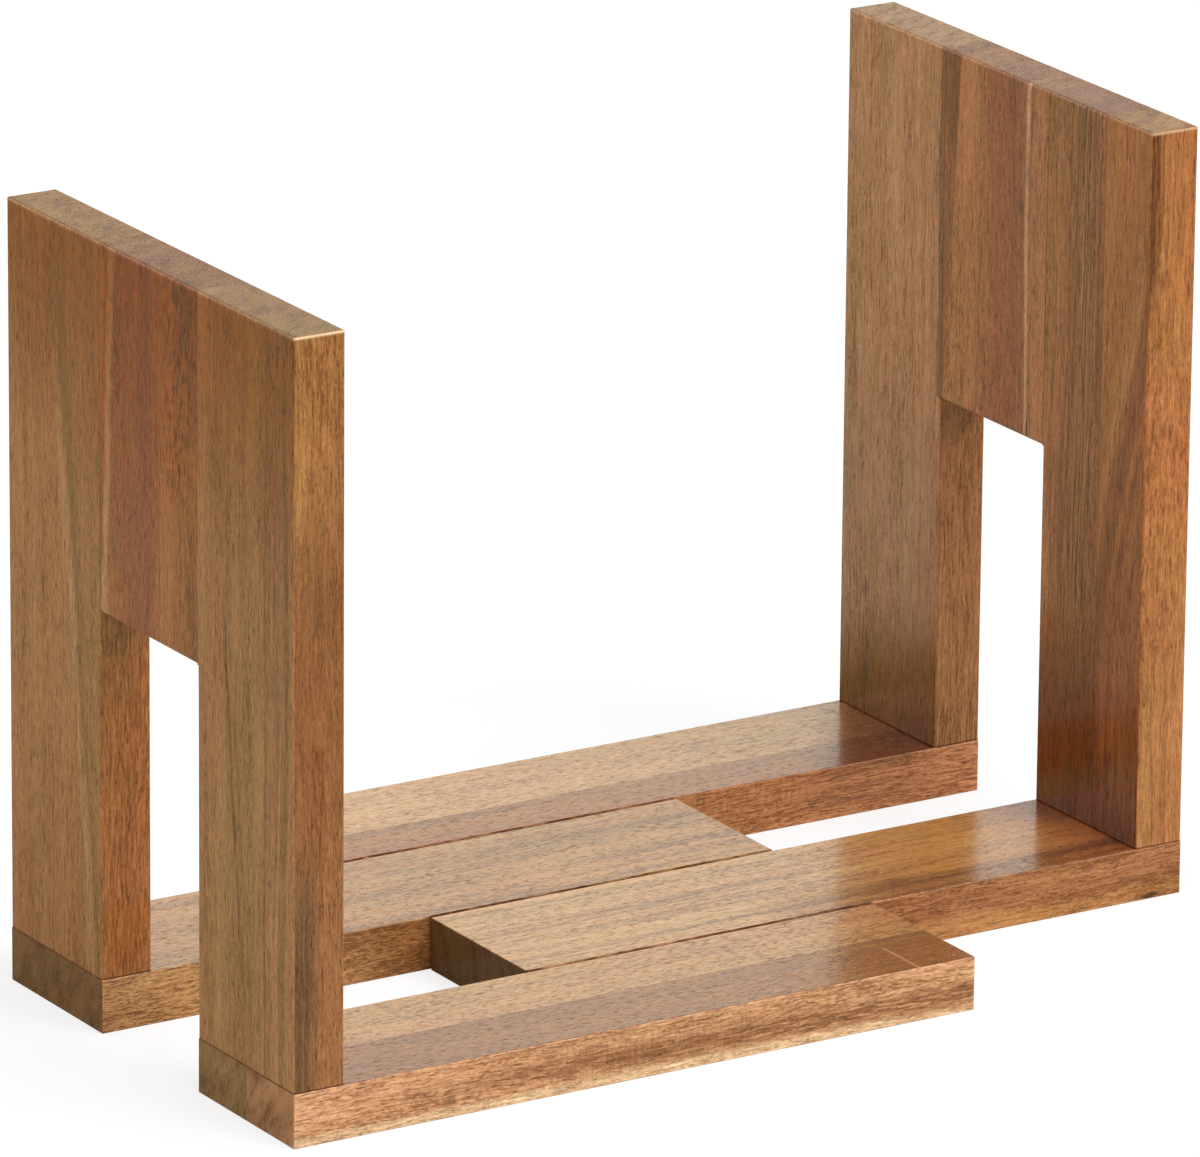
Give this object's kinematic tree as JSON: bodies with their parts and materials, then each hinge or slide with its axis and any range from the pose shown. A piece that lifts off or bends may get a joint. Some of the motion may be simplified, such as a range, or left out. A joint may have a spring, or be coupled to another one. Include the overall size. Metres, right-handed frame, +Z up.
{
  "type": "expandable record storage rack",
  "caption": "Free-standing wooden rack for vinyl records: slotted uprights on base slats that interleave and slide, so the space between the uprights can be changed.",
  "frame": {"origin": "centre of the rack on the surface that it stands on, at the pictured setting", "axes": "+X along the slats, from the left half to the right half, the way the right half slides out; +Y to the rear; +Z up"},
  "size_m": [0.37, 0.2388, 0.26],
  "materials": {
    "tan_leg": "satin lacquer",
    "red_brown_board": "satin lacquer",
    "brown_leg": "satin lacquer",
    "dark_leg": "satin lacquer",
    "pale_slat": "satin lacquer",
    "brown_strip": "satin lacquer",
    "grey_slat": "satin lacquer",
    "dowel_wood": "bare"
  },
  "bodies": {
    "left_half": {"left_rear_leg": "tan_leg", "left_centre_board": "red_brown_board", "left_front_leg": "brown_leg", "left_front_slat_back_strip": "pale_slat", "left_front_slat_front_strip": "brown_strip", "left_rear_slat": "grey_slat", "left_leg_dowels": "dowel_wood"},
    "right_half": {"right_rear_leg": "tan_leg", "right_centre_board": "red_brown_board", "right_front_leg_back_strip": "dark_leg", "right_front_leg_front_strip": "brown_leg", "right_front_slat": "pale_slat", "right_rear_slat_back_strip": "pale_slat", "right_rear_slat_front_strip": "brown_strip", "right_leg_dowels": "dowel_wood"}
  },
  "joints": [
    {"name": "expand_slide", "type": "slide", "parent": "left_half", "child": "right_half", "axis": [1, 0, 0], "range_m": [-0.3335, 0.08]}
  ]
}
